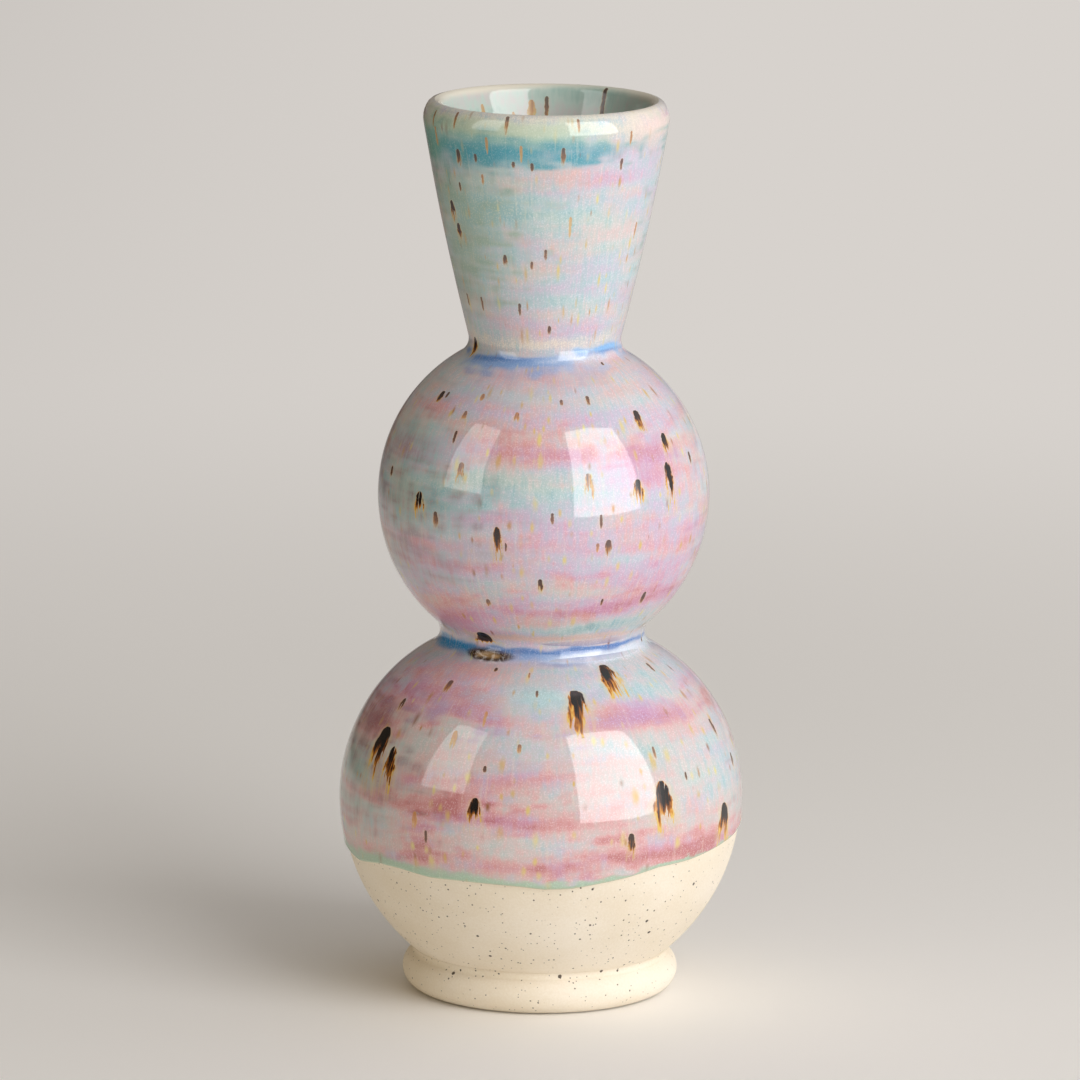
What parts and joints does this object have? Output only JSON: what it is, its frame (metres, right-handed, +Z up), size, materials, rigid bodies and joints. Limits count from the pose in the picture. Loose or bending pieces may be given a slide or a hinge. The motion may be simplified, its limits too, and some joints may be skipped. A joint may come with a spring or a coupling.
{
  "type": "double gourd vase",
  "caption": "Stoneware vase with a large footed lower bulb, a smaller upper bulb and a flared neck, open from the lip to the floor, for flowers or dry stems.",
  "frame": {"origin": "middle of the resting face under the foot ring, on the vase's axis", "axes": "+Z up along the vase's axis, +X to the side where the glaze line is higher, -Y to the front"},
  "size_m": [0.0924, 0.0924, 0.205],
  "materials": {
    "stoneware": "bare fired buff clay with fine dark specks, matt",
    "slip": "smooth bare fired slip, matt",
    "outer_glaze": "glossy streaked aqua, pink and cream glaze with iron spots",
    "inner_glaze": "glossy pale aqua glaze with ochre streaks"
  },
  "bodies": {
    "root": {"foot_ring": "stoneware", "foot_slip": "slip", "lower_bulb": "stoneware", "lower_waist_slip": "slip", "upper_bulb": "stoneware", "upper_waist_slip": "slip", "flared_neck": "stoneware", "outer_glaze": "outer_glaze", "inner_glaze": "inner_glaze"}
  },
  "joints": []
}
